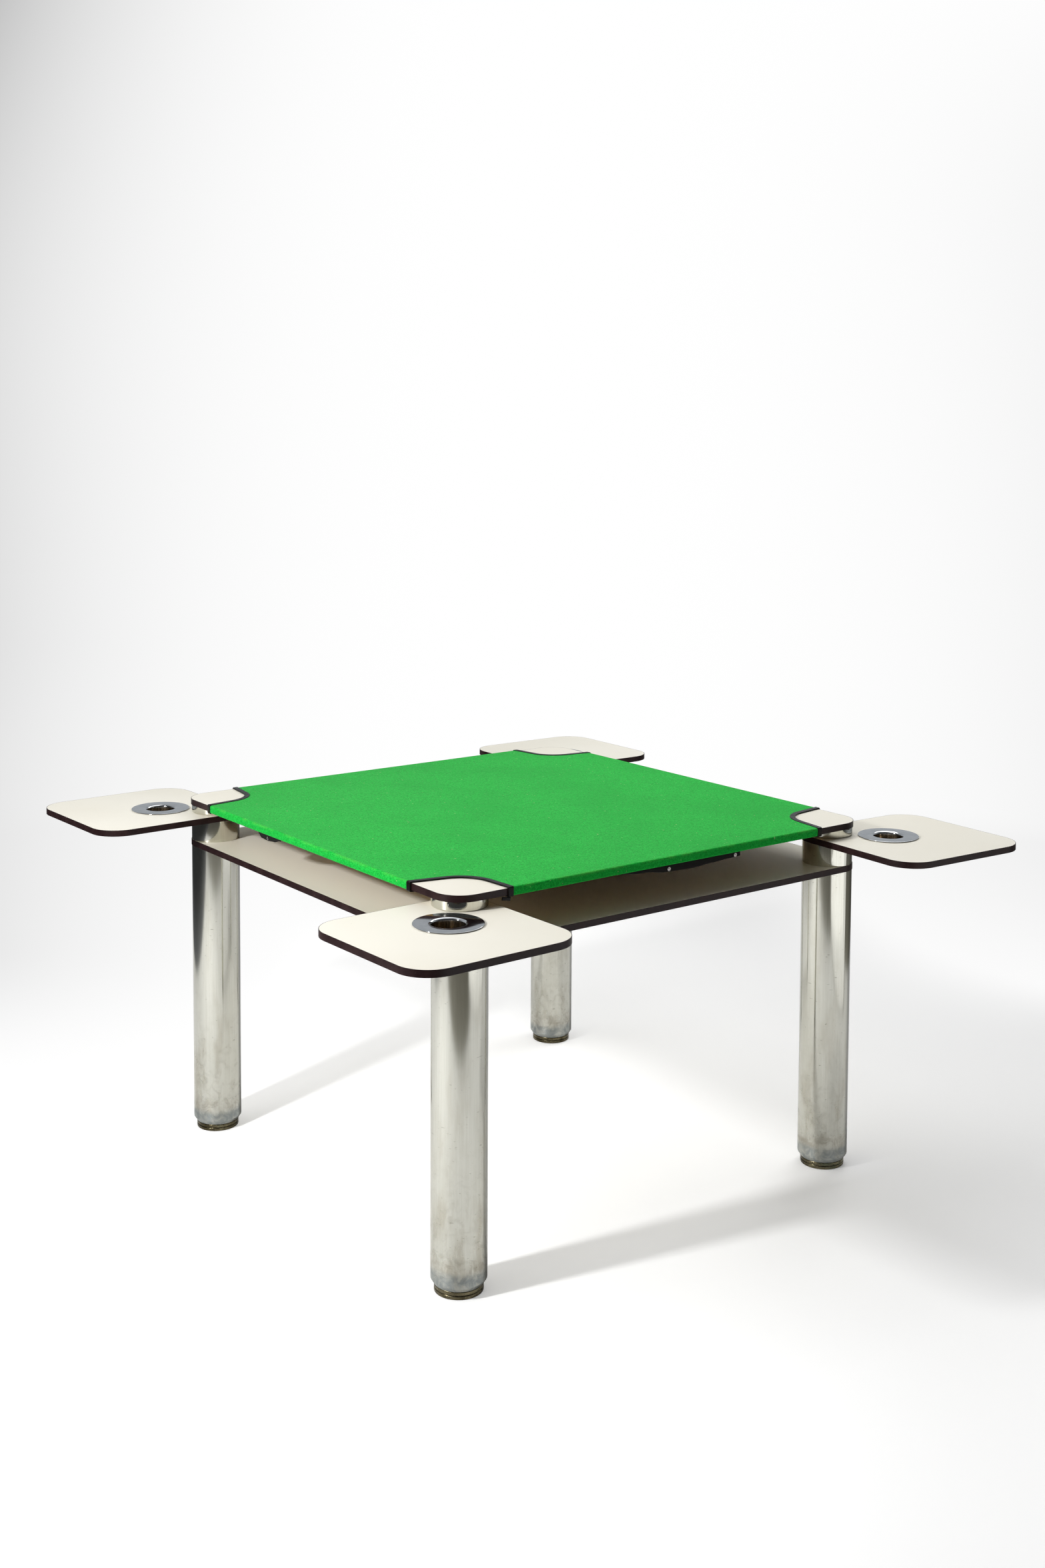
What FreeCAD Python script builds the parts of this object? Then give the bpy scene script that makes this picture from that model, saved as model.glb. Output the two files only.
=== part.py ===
import FreeCAD, Part
import os
from math import atan2, cos, degrees, radians, sin, sqrt

# A square games table on four tube legs. Millimetres, +Z up, origin on the floor under the middle of the top.
# A square shelf is clamped between the legs and short spacers. At each corner a small tray swings on the tie
# bolt above the spacer, and a polished disc carries the top above the tray. A baize cover wraps the top and
# leaves its four corners bare.

V = FreeCAD.Vector

# Boards
top_side = 980.0  # the top board, edge to edge, without the baize
board_thick = 12.0  # top and shelf, laminates included
corner_radius = 50.0  # corners of the top, and of each tray at its pivot, about a leg's axis
laminate_thick = 0.8
edge_band_thick = 1.0
shelf_overhang = 1.0  # the shelf's edge past the leg's surface

# Legs and the stack at each corner
leg_radius = 48.5
leg_wall = 2.0
leg_length = 580.0
leg_chamfer_in = 6.0  # the turned-in end above the foot
leg_chamfer_high = 8.5
spacer_length = 43.0
disc_thick = 16.2
disc_edge_round = 2.0
tray_thick = 12.2
swing_gap = 0.3  # above and below each tray
fit_gap = 0.1  # round pieces that do not move in their seats
running_gap = 0.05  # round pieces that turn or screw
plug_thick = 14.0
plug_rise = 10.0  # from the leg's end to the plug
head_plate_thick = 8.0
spacer_cap_thick = 6.0
tie_bolt_radius = 6.0
bolt_hole_gap = 0.5
bolt_head_flats = 19.0
bolt_head_high = 7.5
bolt_engage = 12.0  # into the disc
bolt_hole_spare = 1.0
washer_radius = 12.0
washer_thick = 2.5
screw_radius = 2.1
screw_head_radius = 4.2
screw_head_high = 2.3
screw_bite = 8.0  # into the top board
screw_circle_radius = 30.0
screw_count = 3

# Levelling feet
foot_rim_high = 6.2
foot_groove_high = 1.4
foot_groove_deep = 1.6
foot_collar_high = 6.1
foot_edge_round = 0.8
foot_gap = 0.3
foot_stem_radius = 8.0
foot_stem_length = 46.0

# Trays and cups
tray_side = 320.0
tray_corner_radius = 57.0  # the three corners away from the pivot
tray_bush_radius = 10.0
cup_place = 83.0  # cup centre from the pivot, along both of the tray's edges
cup_seat_gap = 0.3
cup_flange_radius = 58.75
cup_flange_round = 0.8
cup_throat_radius = 34.0  # where the flange starts to turn down
cup_shoulder_round = 6.0
cup_thick = 2.0
cup_depth = 34.5
cup_taper = 1.5
cup_floor_round = 8.0
cup_hole_gap = 0.5

# Where each tray stands in its swing, in degrees past straight out, anticlockwise from above
tray_turn_degrees = {"front_left": 1.6, "front_right": 1.2, "back_right": -3.0, "back_left": -1.0}

# Baize cover and its bindings
baize_thick = 2.0
baize_skirt_low = 2.2  # the skirt's hem below the top's underside
baize_fold_round = 1.6
notch_flare_degrees = 8.0
binding_wide = 9.5
binding_thick = 1.2

# Each bare corner's inner edge: its radius about the leg's axis, and its turn, anticlockwise from above
notch_radius = {"front_left": 60.0, "front_right": 60.0, "back_right": 64.0, "back_left": 60.0}
notch_turn_degrees = {"front_left": 0.0, "front_right": -4.0, "back_right": 0.0, "back_left": 0.0}

# Hem straps and press studs
strap_thick = 1.2
strap_inset = 1.5  # from the top's edge
long_strap_length = 293.0
long_strap_middle = 11.5
long_strap_drop = 16.2
short_strap_length = 84.0
short_strap_middle = 125.0
short_strap_drop = 13.0
stud_radius = 4.2
stud_high = 1.4

overrun = 4.0  # how far a cutting shape runs past what it cuts

# Along a strap and down from the board, as shares of its length and its drop
long_strap_shares = [(0, 0.2), (0.2, 0.5), (0.4, 0.9), (0.6, 1.0), (0.75, 0.84), (0.9, 0.72), (1, 0.66)]
short_strap_shares = [(0, 0.45), (0.14, 0.92), (0.4, 1.0), (0.7, 0.85), (1, 0.4)]
long_stud_shares = [(0.4, 0.58), (0.955, 0.45)]
short_stud_shares = [(0.43, 0.63)]

# Worked out from the sizes above
top_half = top_side / 2
leg_axis = top_half - corner_radius
leg_inner = leg_radius - leg_wall
foot_radius = leg_radius - leg_chamfer_in
foot_high = foot_rim_high + foot_groove_high + foot_collar_high
leg_z = foot_high + foot_gap
shelf_z = leg_z + leg_length
spacer_z = shelf_z + board_thick
tray_z = spacer_z + spacer_length + swing_gap
tray_top_z = tray_z + tray_thick
disc_z = tray_top_z + swing_gap
top_z = disc_z + disc_thick
top_high_z = top_z + board_thick
shelf_corner_radius = leg_radius + shelf_overhang
shelf_half = leg_axis + shelf_corner_radius
skirt_z = top_z - baize_skirt_low
bolt_hole_radius = tie_bolt_radius + bolt_hole_gap
cup_hole_radius = cup_throat_radius + cup_hole_gap
cup_z = tray_top_z + cup_seat_gap

corners = {"front_left": (-1, -1), "front_right": (1, -1), "back_right": (1, 1), "back_left": (-1, 1)}


def export(name, *solids):
    """One piece, or a group of alike pieces, in its own file."""
    shape = solids[0] if len(solids) == 1 else Part.makeCompound(list(solids))
    os.makedirs("parts", exist_ok=True)
    shape.exportStep("parts/" + name + ".step")


def rod(radius, low, high, x=0, y=0):
    """An upright cylinder between two heights."""
    return Part.makeCylinder(radius, high - low, V(x, y, low))


def plate(near, far, radius, low, high, pivot_radius=None):
    """A square plate with round corners, from near to far both ways; its near corner may differ."""
    places = [(far, far), (near, far), (near, near), (far, near)]
    steps = [(1, 0), (0, 1), (-1, 0), (0, -1)]
    edges, ends = [], []
    for i, (x, y) in enumerate(places):
        r = pivot_radius if pivot_radius and i == 2 else radius
        (ax, ay), (bx, by) = steps[i], steps[(i + 1) % 4]
        cx, cy, lean = x - (ax + bx) * r, y - (ay + by) * r, r * sqrt(0.5)
        first, last = V(cx + ax * r, cy + ay * r, low), V(cx + bx * r, cy + by * r, low)
        middle = V(cx + (ax + bx) * lean, cy + (ay + by) * lean, low)
        edges.append(Part.Arc(first, middle, last).toShape())
        ends.append((first, last))
    for i in range(4):
        edges.insert(2 * i + 1, Part.LineSegment(ends[i][1], ends[(i + 1) % 4][0]).toShape())
    return Part.Face(Part.Wire(edges)).extrude(V(0, 0, high - low))


def turned(points, arcs=()):
    """A solid turned from (radius, height) points; arcs gives the middle of the arc that leaves a point."""
    edges = []
    for i, here in enumerate(points):
        there = points[(i + 1) % len(points)]
        a, b = V(here[0], 0, here[1]), V(there[0], 0, there[1])
        if i in dict(arcs):
            m = dict(arcs)[i]
            edges.append(Part.Arc(a, V(m[0], 0, m[1]), b).toShape())
        else:
            edges.append(Part.LineSegment(a, b).toShape())
    solid = Part.Face(Part.Wire(edges)).revolve(V(0, 0, 0), V(0, 0, 1), 360)
    return solid if solid.Volume > 0 else solid.reversed()


def bend(centre, radius, turn):
    """The middle of a round edge's arc, seen from its centre."""
    return centre[0] + radius * cos(radians(turn)), centre[1] + radius * sin(radians(turn))


def board(near, far, radius, z, thick, pivot_radius=None):
    """Core, upper and lower laminate, and the band glued round all three."""
    under, over, band = z + laminate_thick, z + thick - laminate_thick, edge_band_thick
    pivot = pivot_radius - band if pivot_radius else None

    def filling(low, high):
        return plate(near + band, far - band, radius - band, low, high, pivot)

    edging = plate(near, far, radius, z, z + thick, pivot_radius)
    edging = edging.cut(filling(z - overrun, z + thick + overrun))
    return filling(under, over), filling(over, z + thick), filling(z, under), edging


def at_corners(make):
    """The same piece at all four legs."""
    return [moved(make, sx * leg_axis, sy * leg_axis) for sx, sy in corners.values()]


def moved(shape, x, y, turn=0):
    copy = shape.copy()
    copy.rotate(V(0, 0, 0), V(0, 0, 1), turn)
    copy.translate(V(x, y, 0))
    return copy


# Legs
def leg_tube():
    """A tube whose lower end is turned in to meet the foot."""
    top, shoulder = leg_z + leg_length, leg_z + leg_chamfer_high
    return turned([
        (leg_radius - leg_chamfer_in, leg_z), (leg_radius, shoulder), (leg_radius, top),
        (leg_inner, top), (leg_inner, shoulder), (leg_inner - leg_chamfer_in, leg_z),
    ])


def leg_plug():
    """The tapped disc that holds the foot's screw inside the leg."""
    low = leg_z + plug_rise
    body = rod(leg_inner - fit_gap, low, low + plug_thick)
    return body.cut(rod(foot_stem_radius + running_gap, low - overrun, low + plug_thick + overrun))


def leg_head():
    """The disc that closes the leg under the shelf and takes the tie bolt's load."""
    body = rod(leg_inner - fit_gap, shelf_z - head_plate_thick, shelf_z)
    return body.cut(rod(bolt_hole_radius, shelf_z - head_plate_thick - overrun, shelf_z + overrun))


def foot():
    """A turned levelling foot: rim, groove, collar and screw."""
    groove, collar = foot_rim_high, foot_rim_high + foot_groove_high
    e, inner = foot_edge_round, foot_radius - foot_groove_deep
    disc = turned([
        (0, 0), (foot_radius - e, 0), (foot_radius, e), (foot_radius, groove), (inner, groove),
        (inner, collar), (foot_radius, collar), (foot_radius, foot_high - e), (foot_radius - e, foot_high),
        (foot_stem_radius, foot_high), (foot_stem_radius, foot_high + foot_stem_length),
        (0, foot_high + foot_stem_length),
    ])
    return disc


# The stack above the shelf
def spacer_tube():
    low, high = spacer_z, spacer_z + spacer_length
    return rod(leg_radius, low, high).cut(rod(leg_inner, low - overrun, high + overrun))


def spacer_caps():
    """The discs inside both ends of a spacer."""
    caps = []
    for low in (spacer_z, spacer_z + spacer_length - spacer_cap_thick):
        hole = rod(bolt_hole_radius, low - overrun, low + spacer_cap_thick + overrun)
        caps.append(rod(leg_inner - fit_gap, low, low + spacer_cap_thick).cut(hole))
    return caps


def screw_places():
    """The screws of one disc, as (x, y) about the leg's axis."""
    turns = [radians(360 * i / screw_count) for i in range(screw_count)]
    return [(screw_circle_radius * cos(t), screw_circle_radius * sin(t)) for t in turns]


def screw(extra=0):
    """A countersunk screw, head down, or the hole for it with extra room."""
    tip = top_z + screw_bite + extra
    return turned([
        (0, disc_z), (screw_head_radius + extra, disc_z), (screw_radius + extra, disc_z + screw_head_high),
        (screw_radius + extra, tip), (0, tip),
    ])


def pivot_disc():
    """The polished disc under the top: a blind tapped bore from below and three screw holes."""
    e = disc_edge_round
    body = turned(
        [(0, disc_z), (leg_radius - e, disc_z), (leg_radius, disc_z + e), (leg_radius, top_z), (0, top_z)],
        {1: bend((leg_radius - e, disc_z + e), e, -45)},
    )
    bore = rod(tie_bolt_radius + fit_gap, disc_z - overrun, disc_z + bolt_engage + bolt_hole_spare)
    return body.cut(bore).cut([moved(screw(fit_gap), x, y) for x, y in screw_places()])


def tie_bolt():
    """One hexagon bolt from inside the leg up into the disc."""
    head_top = shelf_z - head_plate_thick - washer_thick
    across = bolt_head_flats / sqrt(3)
    ring = [V(across * cos(radians(60 * i)), across * sin(radians(60 * i)), head_top) for i in range(7)]
    head = Part.Face(Part.makePolygon(ring)).extrude(V(0, 0, -bolt_head_high))
    return head.fuse(rod(tie_bolt_radius, head_top, disc_z + bolt_engage)).removeSplitter()


def bolt_washer():
    low = shelf_z - head_plate_thick - washer_thick
    body = rod(washer_radius, low, low + washer_thick)
    return body.cut(rod(bolt_hole_radius, low - overrun, low + washer_thick + overrun))


# Trays and cups, built with the pivot at the origin and the tray reaching along +X and +Y
def tray():
    """Core, both laminates, edge band and bush of one tray."""
    near, far = -corner_radius, tray_side - corner_radius
    core, upper, lower, band = board(near, far, tray_corner_radius, tray_z, tray_thick, corner_radius)
    low, high = tray_z - overrun, tray_top_z + overrun
    holes = [rod(tray_bush_radius + fit_gap, low, high), rod(cup_hole_radius, low, high, cup_place, cup_place)]
    core, upper, lower = core.cut(holes), upper.cut(holes), lower.cut(holes)
    bush = rod(tray_bush_radius, tray_z, tray_top_z).cut(rod(tie_bolt_radius + running_gap, low, high))
    return core, (upper, lower), band, bush


def cup():
    """A spun cup that hangs in the tray by a broad flange, with a rounded shoulder down into its bowl."""
    throat, shoulder, thick = cup_throat_radius, cup_shoulder_round, cup_thick
    top, floor, e = cup_z + cup_thick, cup_z - cup_depth, cup_flange_round
    neck, under = top - shoulder, shoulder - thick
    low_radius = throat - shoulder - cup_taper
    round_in, round_out = cup_floor_round, cup_floor_round + thick
    centre, rim = (low_radius - round_in, floor + round_in), (cup_flange_radius - e, top - e)
    points = [
        (0, floor), (centre[0], floor), (low_radius, centre[1]), (throat - shoulder, neck),
        (throat, top), (rim[0], top), (cup_flange_radius, rim[1]), (cup_flange_radius, cup_z),
        (throat, cup_z), (throat - under, neck), (low_radius + thick, centre[1]),
        (centre[0], floor - thick), (0, floor - thick),
    ]
    arcs = {
        1: bend(centre, round_in, -45), 3: bend((throat, neck), shoulder, 135), 5: bend(rim, e, 45),
        8: bend((throat, neck), under, 135), 10: bend(centre, round_out, -45),
    }
    return turned(points, arcs)


# Baize cover, its bindings, and the straps under its hem
def shell(far, low):
    """The space round the top board out to a distance from it, open below."""
    outer = plate(-top_half - far, top_half + far, corner_radius + far, low, top_high_z + far)
    return outer.cut(plate(-top_half, top_half, corner_radius, low, top_high_z))


def notch(name, spread):
    """The upright block over a corner, whose inner edge lies spread outside the notch's edge."""
    radius, flare = notch_radius[name] + spread, radians(notch_flare_degrees)
    reach = corner_radius + baize_thick + binding_thick + 2 * overrun
    run = (reach + radius * sin(flare)) / cos(flare)
    end = radius * cos(flare) + run * sin(flare)
    near = V(radius * cos(flare), radius * sin(flare), 0)
    far = V(near.y, near.x, 0)
    middle = V(radius * sqrt(0.5), radius * sqrt(0.5), 0)
    first, last, outside = V(end, -reach, 0), V(-reach, end, 0), V(-reach, -reach, 0)
    wire = Part.Wire([
        Part.LineSegment(first, near).toShape(), Part.Arc(near, middle, far).toShape(),
        Part.LineSegment(far, last).toShape(), Part.LineSegment(last, outside).toShape(),
        Part.LineSegment(outside, first).toShape(),
    ])
    block = Part.Face(wire).extrude(V(0, 0, board_thick + baize_skirt_low + 2 * overrun))
    block.translate(V(0, 0, skirt_z - overrun))
    sx, sy = corners[name]
    square_on = degrees(atan2(sy, sx)) + 135  # from the corner at -X, -Y
    return moved(block, sx * leg_axis, sy * leg_axis, square_on + notch_turn_degrees[name])


def moved_up(shape, z, x=0, y=0):
    copy = shape.copy()
    copy.translate(V(x, y, z))
    return copy


def baize_cover():
    """The cloth over the top and down its edges, with its four corners cut away."""
    far = baize_thick
    outer = plate(-top_half - far, top_half + far, corner_radius + far, skirt_z, top_high_z + far)
    rim = [e for e in outer.Edges if e.BoundBox.ZMin > top_high_z + far - overrun / 4]
    outer = outer.makeFillet(baize_fold_round, rim)
    cloth = outer.cut(plate(-top_half, top_half, corner_radius, skirt_z - overrun, top_high_z))
    return cloth.cut([notch(name, 0) for name in corners])


def corner_bindings(cloth):
    """The tapes folded over the cloth's cut edges, one at each corner."""
    skin = shell(baize_thick + binding_thick, skirt_z - binding_thick)
    parts = []
    for name in corners:
        strip = skin.common(notch(name, binding_wide))
        parts.append(strip.cut([notch(name, -binding_thick), cloth]))
    return parts


def strap(length, drop, shares):
    """A thin strap on edge along +X, hanging from the board's underside at the edge at -Y."""
    points = [V(length * s, -drop * d, 0) for s, d in shares]
    sag = Part.BSplineCurve()
    sag.interpolate(points)
    left, right = V(0, 0, 0), V(length, 0, 0)
    wire = Part.Wire([
        sag.toShape(), Part.LineSegment(points[-1], right).toShape(),
        Part.LineSegment(right, left).toShape(), Part.LineSegment(left, points[0]).toShape(),
    ])
    body = Part.Face(wire).extrude(V(0, 0, strap_thick))
    body.rotate(V(0, 0, 0), V(1, 0, 0), 90)
    return body


def stud():
    """A domed press stud facing -Y, on the strap's outer face."""
    sphere = (stud_radius**2 + stud_high**2) / (2 * stud_high)
    lean = (90 + degrees(atan2(sphere - stud_high, stud_radius))) / 2
    dome = turned(
        [(0, 0), (stud_radius, 0), (0, stud_high)],
        {1: bend((0, stud_high - sphere), sphere, lean)},
    )
    dome.rotate(V(0, 0, 0), V(1, 0, 0), 90)
    return dome


def hem(length, middle, drop, shares, stud_shares):
    """One strap and its studs at the edge at -Y; middle is the strap's middle along X."""
    start, face = middle - length / 2, -top_half + strap_inset
    band = moved_up(strap(length, drop, shares), top_z, start, face + strap_thick)
    studs = [moved_up(stud(), top_z - drop * d, start + length * s, face) for s, d in stud_shares]
    return band, studs


def hems():
    """The straps of all four edges: the long ones at +X and -X, the short ones at -Y and +Y."""
    bands, studs = [], []
    long_hem = hem(long_strap_length, long_strap_middle, long_strap_drop, long_strap_shares, long_stud_shares)
    short = short_strap_length, -short_strap_middle, short_strap_drop
    short_hem = hem(*short, short_strap_shares, short_stud_shares)
    for turn, (band, dots) in ((90, long_hem), (270, long_hem), (0, short_hem), (180, short_hem)):
        bands.append(moved(band, 0, 0, turn))
        studs += [moved(d, 0, 0, turn) for d in dots]
    return bands, studs


# Everything in its place
def make_boards():
    core, upper, lower, band = board(-top_half, top_half, corner_radius, top_z, board_thick)
    holes = [moved(screw(fit_gap), sx * leg_axis + x, sy * leg_axis + y)
             for sx, sy in corners.values() for x, y in screw_places()]
    export("top_core", core.cut(holes))
    export("top_laminate_upper", upper)
    export("top_laminate_lower", lower.cut(holes))
    export("top_edge_band", band)
    core, upper, lower, band = board(-shelf_half, shelf_half, shelf_corner_radius, shelf_z, board_thick)
    holes = at_corners(rod(bolt_hole_radius, shelf_z - overrun, spacer_z + overrun))
    export("shelf_core", core.cut(holes))
    export("shelf_laminate_upper", upper.cut(holes))
    export("shelf_laminate_lower", lower.cut(holes))
    export("shelf_edge_band", band)


def make_corners():
    core, laminates, band, bush = tray()
    bowl = moved(cup(), cup_place, cup_place)
    for name, (sx, sy) in corners.items():
        x, y = sx * leg_axis, sy * leg_axis
        turn = degrees(atan2(sy, sx)) - 45 + tray_turn_degrees[name]
        export("leg_tube_" + name, moved(leg_tube(), x, y))
        export("foot_" + name, moved(foot(), x, y))
        export("spacer_tube_" + name, moved(spacer_tube(), x, y))
        export("pivot_disc_" + name, moved(pivot_disc(), x, y))
        export("tray_core_" + name, moved(core, x, y, turn))
        export("tray_laminates_" + name, *[moved(s, x, y, turn) for s in laminates])
        export("tray_edge_band_" + name, moved(band, x, y, turn))
        export("tray_bush_" + name, moved(bush, x, y, turn))
        export("cup_" + name, moved(bowl, x, y, turn))
    export("leg_plugs", *at_corners(leg_plug()))
    export("leg_heads", *at_corners(leg_head()))
    export("spacer_caps", *[c for cap in spacer_caps() for c in at_corners(cap)])
    export("tie_bolts", *at_corners(tie_bolt()))
    export("bolt_washers", *at_corners(bolt_washer()))
    export("disc_screws", *[moved(s, x, y) for s in at_corners(screw()) for x, y in screw_places()])


def make_cover():
    cloth = baize_cover()
    bands, studs = hems()
    export("baize_cover", cloth)
    export("corner_bindings", *corner_bindings(cloth))
    export("hem_straps", *bands)
    export("press_studs", *studs)


make_boards()
make_corners()
make_cover()
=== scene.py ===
# %% [markdown]
# A square games table on four polished tube legs. Its top wears a green baize cover, a laminate shelf sits
# under it, and at each corner a small tray with a drop-in cup swings out. The imported model gives every size
# and place. We load it first.

# %% Load the table
import bpy, bmesh
from math import atan2, cos, pi, radians, sin, tan, tau
from mathutils import Matrix, Vector, noise


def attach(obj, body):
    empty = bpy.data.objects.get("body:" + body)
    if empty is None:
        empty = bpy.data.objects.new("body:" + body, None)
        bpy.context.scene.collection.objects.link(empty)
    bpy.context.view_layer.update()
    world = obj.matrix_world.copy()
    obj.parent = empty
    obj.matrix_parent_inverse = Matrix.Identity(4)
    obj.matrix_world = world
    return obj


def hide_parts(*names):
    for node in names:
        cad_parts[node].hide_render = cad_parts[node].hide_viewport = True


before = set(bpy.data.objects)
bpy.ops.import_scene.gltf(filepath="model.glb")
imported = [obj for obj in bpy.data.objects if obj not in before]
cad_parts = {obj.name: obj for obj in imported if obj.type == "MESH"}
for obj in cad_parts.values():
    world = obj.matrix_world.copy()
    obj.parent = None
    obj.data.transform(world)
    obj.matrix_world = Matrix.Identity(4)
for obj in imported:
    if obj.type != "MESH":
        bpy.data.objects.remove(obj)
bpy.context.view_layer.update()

# %% [markdown]
# The camera stands where the photographer stood, a little above the table and off one corner. A portrait
# frame was moved down on its sensor so that the table sits low in it, which keeps the legs upright: that is
# the shift. Lens and shift come from the photograph's height, the focal length and the lens axis, all in
# its own pixels.

# %% Camera
photo_high, focal_length, axis_row, sensor = 2352, 2677.8, 815.2, 36
heading, dip, lean = radians(53.09), radians(4.01), radians(0.28)
forward = Vector((-sin(heading) * cos(dip), cos(heading) * cos(dip), -sin(dip)))
level_right = Vector((cos(heading), sin(heading), 0))
level_up = level_right.cross(forward)
right = level_right * cos(lean) + level_up * sin(lean)
up = level_up * cos(lean) - level_right * sin(lean)
standpoint = Matrix.Translation((2.8445, -2.1187, 1.4716))

camera = bpy.data.objects.new("camera", bpy.data.cameras.new("camera"))
bpy.context.collection.objects.link(camera)
bpy.context.scene.camera = camera
camera.matrix_world = standpoint @ Matrix((right, up, -forward)).transposed().to_4x4()
camera.data.lens = focal_length * sensor / photo_high
camera.data.shift_y = (axis_row - photo_high / 2) / photo_high
print("lens", round(camera.data.lens, 2), "shift", round(camera.data.shift_y, 4))

# %% [markdown]
# Sizes that the pieces share, in metres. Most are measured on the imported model, whose faces lie on whole
# tenths of a millimetre, so the new pieces stay true to it. A tray's side, its three outer corners and the
# place of its cup are given, because a tray stands a few degrees off straight out and can't be measured
# along the axes.

# %% Shared sizes
X, Z = 0, 2


def tenth(length):
    """A length in metres, rounded to a tenth of a millimetre."""
    return round(length, 4)


def span(axis, node):
    """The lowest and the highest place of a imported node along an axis."""
    places = [vert.co[axis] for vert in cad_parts[node].data.vertices]
    return tenth(min(places)), tenth(max(places))


leg_near, leg_far = span(X, "leg_tube_front_right")
LEG_AXIS, LEG_RADIUS = tenth((leg_near + leg_far) / 2), tenth((leg_far - leg_near) / 2)
TOP_LOW, TOP_HIGH = span(Z, "top_edge_band")
TOP_HALF = span(X, "top_edge_band")[1]
SHELF_LOW, SHELF_HIGH = span(Z, "shelf_edge_band")
SHELF_HALF = span(X, "shelf_edge_band")[1]
LAMINATE = tenth(TOP_HIGH - span(Z, "top_laminate_upper")[0])
BAND = tenth(TOP_HALF - span(X, "top_laminate_upper")[1])
CORNER, SHELF_CORNER = tenth(TOP_HALF - LEG_AXIS), tenth(SHELF_HALF - LEG_AXIS)
TRAY_LOW, TRAY_HIGH = span(Z, "tray_edge_band_front_left")
TRAY_SIDE, TRAY_CORNER, CUP_PLACE = 0.32, 0.057, 0.083
print("leg axis", LEG_AXIS, "radius", LEG_RADIUS, "top from", TOP_LOW, "to", TOP_HIGH, "laminate", LAMINATE)

# %% [markdown]
# Almost everything here comes in fours, so a corner is a name, the two sides that it lies on and the
# degrees by which its tray stands past straight out. One matrix carries a piece from the middle to its
# corner.

# %% Corners
corners = {
    "front_left": (-1, -1, 1.6),
    "front_right": (1, -1, 1.2),
    "back_right": (1, 1, -3.0),
    "back_left": (-1, 1, -1.0),
}


def leg_place(corner, tray=False):
    """The matrix that carries a piece built about the origin to a leg, turned with its tray if asked."""
    sx, sy, off = corners[corner]
    swing = atan2(sy, sx) - pi / 4 + radians(off) if tray else 0
    return Matrix.Translation((sx * LEG_AXIS, sy * LEG_AXIS, 0)) @ Matrix.Rotation(swing, 4, "Z")


print("corners", *corners)

# %% [markdown]
# Shader sums read best as Python, so a socket is wrapped in a small class: adding or multiplying two of
# them adds the Math node. A ramp eases a value from one range into another, which is how most wear is
# placed.

# %% Sums of sockets
class Part:
    """A socket that takes part in Python sums."""

    def __init__(self, finish, socket):
        self.finish, self.socket = finish, socket

    def sum(self, operation, *others):
        values = dict(enumerate((self,) + others))
        return self.finish.add("ShaderNodeMath", {"operation": operation}, values)

    def __add__(self, other):
        return self.sum("ADD", other)

    def __sub__(self, other):
        return self.sum("SUBTRACT", other)

    def __rsub__(self, other):
        return self.finish.add("ShaderNodeMath", {"operation": "SUBTRACT"}, {0: other, 1: self})

    def __mul__(self, other):
        return self.sum("MULTIPLY", other)

    def __truediv__(self, other):
        return self.sum("DIVIDE", other)

    def __pow__(self, other):
        return self.sum("POWER", other)

    __radd__, __rmul__ = __add__, __mul__

    def distance(self):
        return self.sum("ABSOLUTE")

    def ramp(self, low, high, to_low=0.0, to_high=1.0):
        """Turns low..high into to_low..to_high, eased at both ends."""
        values = {0: self, 1: low, 2: high, 3: to_low, 4: to_high}
        return self.finish.add("ShaderNodeMapRange", {"interpolation_type": "SMOOTHSTEP"}, values)


def larger(a, b):
    return a.sum("MAXIMUM", b)


def smaller(a, b):
    return a.sum("MINIMUM", b)


print("sums are ready to write")
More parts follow.
